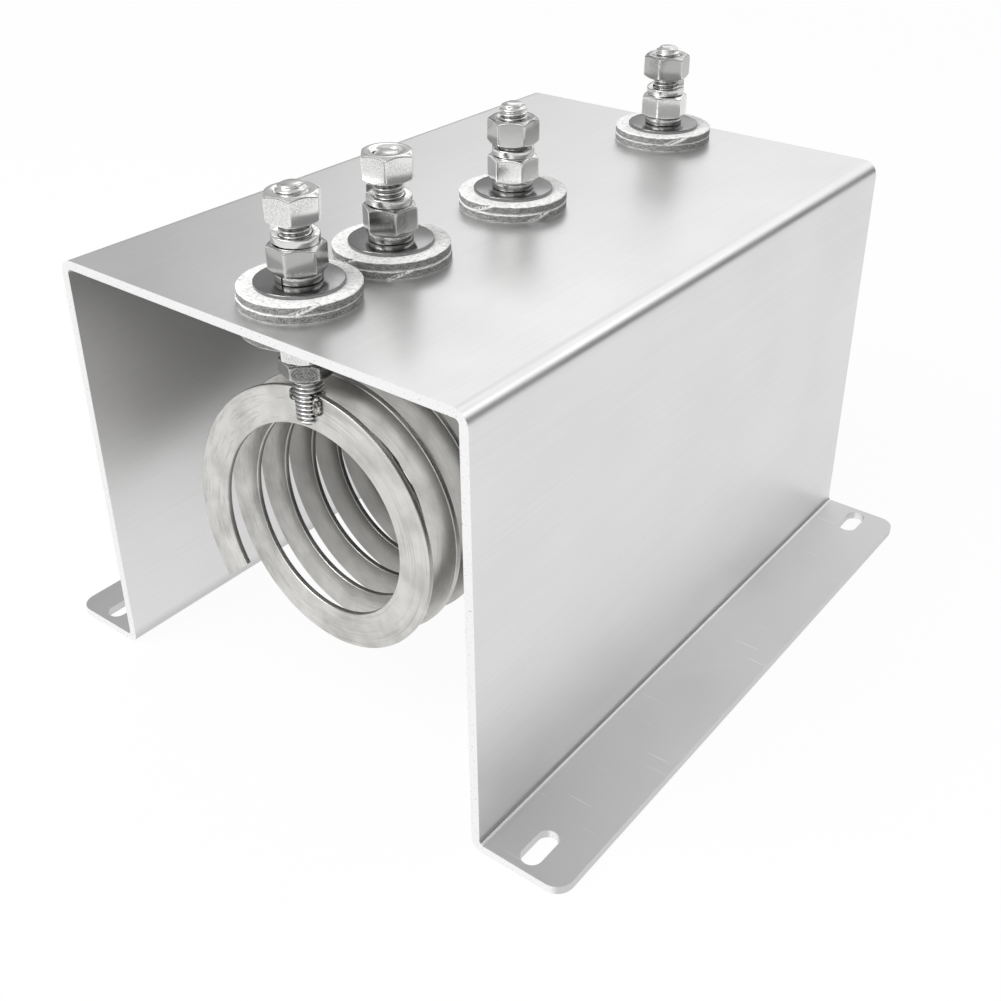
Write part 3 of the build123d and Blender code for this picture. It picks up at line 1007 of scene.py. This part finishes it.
@dataclass
class SpringWasher:
    """A split spring washer: a square bar in one open turn, its two ends at different heights."""

    node: str
    turn: float
    rise: float
    finishes: dict[Finish, bpy.types.Material]
    hand: Hand = Hand.LEFT
    is_loose: bool = False
    thickness: float = 2.5
    bar: float = 2.4
    gap_degrees: float = 5.0
    edge_radius: float = 0.3
    steps: int = 110
    sharp_degrees: float = 50.0

    def build(self) -> None:
        """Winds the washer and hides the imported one."""
        low, high = box_mm(self.node)
        centre = (low + high) / 2
        middle = (high.x - low.x) / 2 - self.bar / 2
        section = rounded_bar(self.bar, self.thickness, self.edge_radius)
        swept = 360.0 - self.gap_degrees
        start = Vector((math.cos(math.radians(self.turn)), math.sin(math.radians(self.turn)), 0.0))
        # A loose washer leans towards its middle, so that its first half turn lies on the nut
        lean = self.rise / (4 * middle) if self.is_loose else 0.0
        rings = []
        for i in range(self.steps + 1):
            share = i / self.steps
            angle = math.radians(self.turn + self.hand.value * swept * share)
            outward = Vector((math.cos(angle), math.sin(angle), 0.0))
            ring = []
            for radial, lift in section:
                place = outward * (middle + radial)
                place.z = self.rise * share + lift + lean * place.dot(start)
                ring.append(place)
            rings.append(ring)
        foot = min(place.z for ring in rings for place in ring)
        seat = Vector((centre.x, centre.y, low.z - foot))
        points, faces = loft([[place + seat for place in ring] for ring in rings], capped=True)
        name = self.node.replace("spring_washer", "split_washer")
        piece = mesh_piece(name, points, faces, self.finishes[Finish.SPRING], self.sharp_degrees)
        wear(piece, self.node)


@dataclass
class FlatWasher:
    """A punched flat washer: its upper rim rounded by the punch, its lower rim sharp."""

    node: str
    finishes: dict[Finish, bpy.types.Material]
    bore_radius: float = 5.2
    rim_radius: float = 0.35
    lower_rim: float = 0.1
    rim_degrees: tuple[float, ...] = (22.5, 45.0, 67.5, 90.0)
    points_round: int = 120

    def build(self) -> None:
        """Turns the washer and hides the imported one."""
        low, high = box_mm(self.node)
        centre = (low + high) / 2
        outer = (high.x - low.x) / 2
        profile = [
            (self.bore_radius, low.z), (outer - self.lower_rim, low.z), (outer, low.z + self.lower_rim),
            (outer, high.z - self.rim_radius)]
        for angle in (math.radians(degrees) for degrees in self.rim_degrees):
            inward, down = self.rim_radius * (1 - math.cos(angle)), self.rim_radius * (1 - math.sin(angle))
            profile.append((outer - inward, high.z - down))
        profile.append((self.bore_radius, high.z))
        rings = [level_ring(centre, height, [radius] * self.points_round) for radius, height in profile]
        points, faces = loft(rings, joined_ends=True)
        name = self.node.replace("flat_washer", "punched_washer")
        wear(mesh_piece(name, points, faces, self.finishes[Finish.WASHER]), self.node)


@dataclass
class Chip:
    """A flake lost from a disc's rim: its place round the rim, its reach and its depth."""

    degrees: float
    half_width_degrees: float
    depth: float
    lower_disc: bool = False


@dataclass
class MicaDiscs:
    """Two pressed mica discs lying on each other, with ragged rims and small chips."""

    node: str
    seed: int
    finishes: dict[Finish, bpy.types.Material]
    chips: list[Chip] = field(default_factory=list)
    bore_radius: float = 5.0
    raggedness: float = 0.10
    waves_round: float = 9.0
    waves_up: float = 4.0
    seed_stride: float = 7.3
    fine_raggedness_share: float = 0.6
    fine_waves: float = 2.7
    chip_slant_degrees: float = 20.0
    edge_radius: float = 0.30
    joint_gap: float = 0.06
    face_shares: tuple[float, float] = (0.6, 0.9)
    rim_rings: int = 4
    points_round: int = 220
    sharp_degrees: float = 60.0

    def ragged(self, angle: float, level: float) -> float:
        """Finds how far the rim strays.

        Args:
            angle: The angle round the disc, in radians.
            level: The height there, in millimetres.

        Returns:
            How far outward it strays, in millimetres.
        """
        place = Vector((
            math.cos(angle) * self.waves_round, math.sin(angle) * self.waves_round,
            level * self.waves_up + self.seed * self.seed_stride))
        fine = self.fine_raggedness_share * noise.noise(place * self.fine_waves)
        return self.raggedness * (noise.noise(place) + fine)

    def chip_depth(self, angle: float, level: float, lower: bool) -> float:
        """Finds how deep a chip bites.

        Args:
            angle: The angle round the disc, in radians.
            level: The place on the rim's height, from 0 to 1.
            lower: Whether it is the lower disc of the pair.

        Returns:
            The depth in millimetres.
        """
        depth = 0.0
        for chip in self.chips:
            if chip.lower_disc != lower:
                continue
            slant = self.chip_slant_degrees * level
            away = abs((math.degrees(angle) - chip.degrees + 180 - slant) % 360 - 180)
            depth = max(depth, chip.depth * max(1 - away / chip.half_width_degrees, 0.0) ** 0.5)
        return depth

    def disc(self, centre: Vector, radius: float, low: float, high: float, lower: bool) -> list[list[Vector]]:
        """Shapes one disc from its bore's foot over the rim to its bore's top.

        Args:
            centre: A point on the disc's axis.
            radius: Its outer radius.
            low: The height of its lower face.
            high: The height of its upper face.
            lower: Whether it is the lower disc of the pair.

        Returns:
            The rings.
        """
        soft = self.edge_radius
        rim = high - low - 2 * soft
        inner, outer = (radius * share for share in self.face_shares)
        flat = [(self.bore_radius, low), (inner, low)]
        # The edges are rounded by one short facet, whose ends are shares of the radius
        edge = [(radius - soft, low), (radius - soft * 0.25, low + soft * 0.35)]
        edge += [(radius, low + soft + rim * i / self.rim_rings) for i in range(self.rim_rings + 1)]
        edge += [(radius - soft * 0.3, high - soft * 0.3), (radius - soft, high)]
        rings = [level_ring(centre, height, [reach] * self.points_round) for reach, height in flat]
        for index, (reach, height) in enumerate(edge):
            is_bitten = 0 < index < len(edge) - 1
            radii = []
            for angle in even_angles(self.points_round):
                stray = self.ragged(angle, height) - self.raggedness
                bite = self.chip_depth(angle, (height - low) / (high - low), lower) if is_bitten else 0.0
                radii.append(reach + stray - bite)
            rings.append(level_ring(centre, height, radii))
        top = [(outer, high), (inner, high), (self.bore_radius, high)]
        return rings + [level_ring(centre, height, [reach] * self.points_round) for reach, height in top]

    def build(self) -> None:
        """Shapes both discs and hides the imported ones."""
        low, high = box_mm(self.node)
        stud = sum(box_mm(f"stud_{self.node[-1]}"), Vector()) / 2
        shift = ((low + high) / 2 - stud) * 2
        radius = (high.x - low.x) / 2 - abs(shift.x) / 2
        middle = (low.z + high.z) / 2
        lower_centre = Vector((stud.x + shift.x, stud.y + shift.y, 0.0))
        half_gap = self.joint_gap / 2
        pair = ((lower_centre, low.z, middle - half_gap, True), (stud, middle + half_gap, high.z, False))
        points, faces = [], []
        for centre, foot, top, lower in pair:
            disc_points, disc_faces = loft(self.disc(centre, radius, foot, top, lower), joined_ends=True)
            faces += [tuple(i + len(points) for i in face) for face in disc_faces]
            points += disc_points
        name = self.node.replace("mica_discs", "mica_pair")
        piece = mesh_piece(name, points, faces, self.finishes[Finish.MICA], self.sharp_degrees)
        wear(piece, self.node)


@dataclass
class Terminal:
    """One stud with everything threaded on it, from the loose top nut to the weld on the strip."""

    number: int
    finishes: dict[Finish, bpy.types.Material]
    nut_turns: dict[str, float]
    loose_washer_turn: float
    loose_washer_rise: float
    loose_washer_hand: Hand
    clamp_washer_turn: float
    chips: list[Chip]
    nut_finishes: dict[str, Finish]
    clamp_washer_rise: float = 0.15
    lower_seeds_from: int = 10

    def build(self) -> None:
        """Builds the terminal's pieces from top to bottom."""
        k, finishes = self.number, self.finishes
        for name, turn in self.nut_turns.items():
            HexNut(f"{name}_{k}", turn, finishes[self.nut_finishes[name]]).build()
        SpringWasher(
            f"loose_spring_washer_{k}", self.loose_washer_turn, self.loose_washer_rise, finishes,
            self.loose_washer_hand, is_loose=True).build()
        SpringWasher(f"clamp_spring_washer_{k}", self.clamp_washer_turn, self.clamp_washer_rise, finishes).build()
        for name in ("top_flat_washer", "under_flat_washer"):
            FlatWasher(f"{name}_{k}", finishes).build()
        MicaDiscs(f"top_mica_discs_{k}", k, finishes, self.chips).build()
        MicaDiscs(f"under_mica_discs_{k}", k + self.lower_seeds_from, finishes).build()
        dress(f"insulating_bush_{k}", finishes[Finish.MICA])
        ThreadedStud(k, ResistanceCoil.kerf_offsets[k - 1]).build()
        dress(f"weld_beads_{k}", finishes[Finish.WELD])


def terminals(finishes: dict[Finish, bpy.types.Material]) -> list[Terminal]:
    """Lists the four terminals, with the turns of their pieces in degrees as the photograph shows them.

    Args:
        finishes: The materials by finish.

    Returns:
        The terminals from front to rear.
    """
    nut_turns = {
        "top_nut": (10, 9, 32, 41), "clamp_nut": (51, 25, 27, 44), "plate_nut": (20, 35, 5, 50),
        "jam_nut": (40, 12, 28, 3)}
    # Each loose washer's turn, rise and hand
    loose = [(217, 2.6, Hand.RIGHT), (212, 2.6, Hand.RIGHT), (215, 1.3, Hand.RIGHT), (35, 2.6, Hand.LEFT)]
    clamp_washer_turns = (271, 120, 100, 150)
    chips = [
        [Chip(-53, 4, 0.7)],
        [Chip(-53, 3, 0.6, True), Chip(-106, 3, 0.5)],
        [Chip(-97, 3, 0.6), Chip(-35, 4, 0.6, True)],
        [Chip(-53, 5, 0.8)],
    ]
    nut_finishes = {
        "top_nut": (Finish.NUT, Finish.NUT, Finish.DULL_NUT, Finish.DULL_NUT),
        "clamp_nut": (Finish.DULL_NUT, Finish.DULL_NUT, Finish.NUT, Finish.NUT),
        # The jam nuts, under the plate, take the darker copy in painted shade
        "plate_nut": (Finish.NUT,) * TERMINAL_COUNT, "jam_nut": (Finish.SHADED_UNDER_NUT,) * TERMINAL_COUNT}
    return [
        Terminal(
            k + 1, finishes, {name: turns[k] for name, turns in nut_turns.items()}, *loose[k],
            clamp_washer_turns[k], chips[k], {name: worn[k] for name, worn in nut_finishes.items()})
        for k in range(TERMINAL_COUNT)]


# The studio


@dataclass(frozen=True)
class Softbox:
    """A square lamp that aims at the object: its place and its side in metres, and its power in watts."""

    name: str
    place: tuple[float, float, float]
    side: float
    watts: float

    def hang(self, target: tuple[float, float, float]) -> None:
        """Adds the lamp to the scene.

        Args:
            target: The point that it aims at, in metres.
        """
        data = bpy.data.lights.new(self.name, "AREA")
        data.shape = "SQUARE"
        data.size = self.side
        data.energy = self.watts
        lamp = bpy.data.objects.new(self.name, data)
        lamp.location = self.place
        aim = Vector(target) - Vector(self.place)
        lamp.rotation_euler = aim.to_track_quat("-Z", "Y").to_euler()
        bpy.context.scene.collection.objects.link(lamp)


@dataclass
class Studio:
    """A white floor under soft light, and the camera where the photograph was taken from."""

    camera_place_mm: tuple[float, float, float] = (264.06, -345.10, 315.44)
    azimuth: float = 37.131
    elevation: float = 31.408
    roll: float = 0.216
    lens_mm: float = 45.48
    sensor_mm: float = 36.0
    shift_x: float = -0.0123
    shift_y: float = -0.0341
    clip_m: tuple[float, float] = (0.01, 60.0)
    floor_half_m: float = 12.0
    floor_colour: str = "#F2F2F2"
    floor_glow_seen: float = 0.95
    floor_glow_mirrored: float = 0.88
    target: tuple[float, float, float] = (0.0, 0.0, 0.1)
    softboxes: tuple[Softbox, ...] = (
        Softbox("overhead_softbox", (-0.35, -0.75, 1.0), 0.7, 8.0),
        Softbox("front_softbox", (0.5, -1.1, 0.9), 0.6, 2.0))
    horizon_grey: float = 0.14
    # Each ring of the room's walls: the sines of the heights between which it takes over from the ring below,
    # and its greys by degrees from the right towards the rear
    rings: tuple[tuple[float, float, tuple[tuple[float, float], ...]], ...] = (
        (0.08, 0.20, (
            (-180, 0.60), (-145, 0.80), (-108, 1.30), (-60, 0.95), (-20, 0.80), (8, 0.25), (60, 0.16), (80, 0.80),
            (100, 1.08), (118, 1.02), (126, 0.52), (155, 0.50), (180, 0.60))),
        (0.32, 0.44, (
            (-180, 0.60), (-145, 0.60), (-108, 1.80), (-72, 0.60), (-20, 0.60), (8, 0.20), (42, 0.20), (58, 1.30),
            (100, 1.32), (132, 1.90), (138, 0.56), (160, 0.54), (180, 0.60))),
        (0.45, 0.54, (
            (-180, 0.80), (-145, 0.15), (-128, 0.85), (-108, 2.20), (-88, 0.80), (-70, 0.12), (-20, 0.12),
            (22, 0.18), (36, 2.20), (60, 2.60), (70, 1.50), (90, 1.20), (102, 0.62), (118, 0.85), (131, 1.90),
            (140, 0.46), (155, 0.34), (180, 0.80))),
        (0.60, 0.74, (
            (-180, 0.70), (-108, 1.10), (-60, 0.45), (15, 0.40), (45, 0.50), (66, 0.50), (80, 1.50), (103, 1.40),
            (116, 0.70), (180, 0.70))),
        (0.84, 0.96, ((-180, 0.70), (180, 0.70))),
    )

    def camera(self) -> None:
        """Places the camera at the photograph's viewing angle."""
        azimuth, elevation, roll = (math.radians(a) for a in (self.azimuth, self.elevation, self.roll))
        reach = math.cos(elevation)
        forward = Vector((-math.sin(azimuth) * reach, math.cos(azimuth) * reach, -math.sin(elevation)))
        level = forward.cross(Vector((0, 0, 1))).normalized()
        upright = level.cross(forward)
        right = level * math.cos(roll) + upright * math.sin(roll)
        up = upright * math.cos(roll) - level * math.sin(roll)
        data = bpy.data.cameras.new("photograph_camera")
        data.sensor_width = self.sensor_mm
        data.lens = self.lens_mm
        data.shift_x, data.shift_y = self.shift_x, self.shift_y
        data.clip_start, data.clip_end = self.clip_m
        camera = bpy.data.objects.new("photograph_camera", data)
        axes = Matrix((right, up, -forward)).transposed().to_4x4()
        camera.matrix_world = Matrix.Translation(Vector(self.camera_place_mm) * MM) @ axes
        bpy.context.scene.collection.objects.link(camera)
        bpy.context.scene.camera = camera

    def floor(self) -> None:
        """Lays the white floor, which shows as white and keeps a soft shadow."""
        mesh = bpy.data.meshes.new("studio_floor")
        half = self.floor_half_m
        corners = [(-half, -half, 0), (half, -half, 0), (half, half, 0), (-half, half, 0)]
        mesh.from_pydata(corners, [], [(0, 1, 2, 3)])
        material = bpy.data.materials.new("matt_white_paper")
        material.use_nodes = True
        tree = material.node_tree
        tree.nodes.clear()
        node = partial(add_node, tree)
        rays = node("ShaderNodeLightPath").node.outputs
        through = node("ShaderNodeMath", {"operation": "MAXIMUM"}, {
            0: rays["Is Glossy Ray"], 1: rays["Is Transmission Ray"]})
        mirrored = node("ShaderNodeMath", {"operation": "MULTIPLY"}, {0: through, 1: self.floor_glow_mirrored})
        share = node("ShaderNodeMath", {"operation": "MULTIPLY_ADD"}, {
            0: rays["Is Camera Ray"], 1: self.floor_glow_seen, 2: mirrored})
        paper = node("ShaderNodeBsdfDiffuse", None, {"Color": linear(self.floor_colour)})
        glow = node("ShaderNodeEmission", None, {"Color": WHITE, "Strength": 1.0})
        mixed = node("ShaderNodeMixShader", None, {0: share, 1: paper, 2: glow})
        node("ShaderNodeOutputMaterial", None, {"Surface": mixed})
        mesh.materials.append(material)
        floor = bpy.data.objects.new("studio_floor", mesh)
        bpy.context.scene.collection.objects.link(floor)

    def surroundings(self) -> None:
        """Lights the room by rings of grey that the metal mirrors, and shows it as plain white."""
        world = bpy.data.worlds.new("photographers_room")
        world.use_nodes = True
        tree = world.node_tree
        tree.nodes.clear()
        node = partial(add_node, tree)
        direction = node("ShaderNodeTexCoord", output="Generated")
        parts = node("ShaderNodeSeparateXYZ", None, {"Vector": direction}).node.outputs
        turn = node("ShaderNodeMath", {"operation": "ARCTAN2"}, {0: parts["Y"], 1: parts["X"]})
        turn_share = node("ShaderNodeMapRange", None, {"Value": turn, "From Min": -math.pi, "From Max": math.pi})
        dome: bpy.types.NodeSocket | tuple[float, ...] = (self.horizon_grey,) * 3 + (1.0,)
        for low, high, greys in self.rings:
            around = node("ShaderNodeValToRGB", None, {"Fac": turn_share})
            self.set_stops(around.node.color_ramp, [((degrees + 180) / 360, grey) for degrees, grey in greys])
            share = node("ShaderNodeMapRange", {"interpolation_type": "SMOOTHSTEP"}, {
                "Value": parts["Z"], "From Min": low, "From Max": high})
            dome = node("ShaderNodeMix", COLOURS, {SHARE: share, COLOUR_A: dome, COLOUR_B: around}, MIXED_COLOUR)
        is_camera = node("ShaderNodeLightPath", output="Is Camera Ray")
        shown = node("ShaderNodeMix", COLOURS, {SHARE: is_camera, COLOUR_A: dome, COLOUR_B: WHITE}, MIXED_COLOUR)
        background = node("ShaderNodeBackground", None, {"Color": shown, "Strength": 1.0})
        node("ShaderNodeOutputWorld", None, {"Surface": background})
        bpy.context.scene.world = world

    def set_stops(self, ramp: bpy.types.ColorRamp, stops: list[tuple[float, float]]) -> None:
        """Sets a ramp's greys.

        Args:
            ramp: The ramp of a node.
            stops: Places from 0 to 1, each with its linear grey.
        """
        first, last = ramp.elements
        first.position, last.position = stops[0][0], stops[-1][0]
        first.color, last.color = (stops[0][1],) * 3 + (1.0,), (stops[-1][1],) * 3 + (1.0,)
        for place, level in stops[1:-1]:
            ramp.elements.new(place).color = (level, level, level, 1.0)

    def build(self) -> None:
        """Sets up floor, light and camera."""
        self.floor()
        self.surroundings()
        for softbox in self.softboxes:
            softbox.hang(self.target)
        self.camera()
        bpy.context.scene.view_settings.view_transform = "Standard"


def main() -> None:
    """Builds every piece and the studio."""
    logging.basicConfig(level=logging.INFO, format="%(name)s: %(message)s")
    finishes = make_finishes()
    Bracket(finishes).build()
    ResistanceCoil(finishes).build()
    for terminal in terminals(finishes):
        terminal.build()
    Studio().build()


if __name__ == "__main__":
    main()
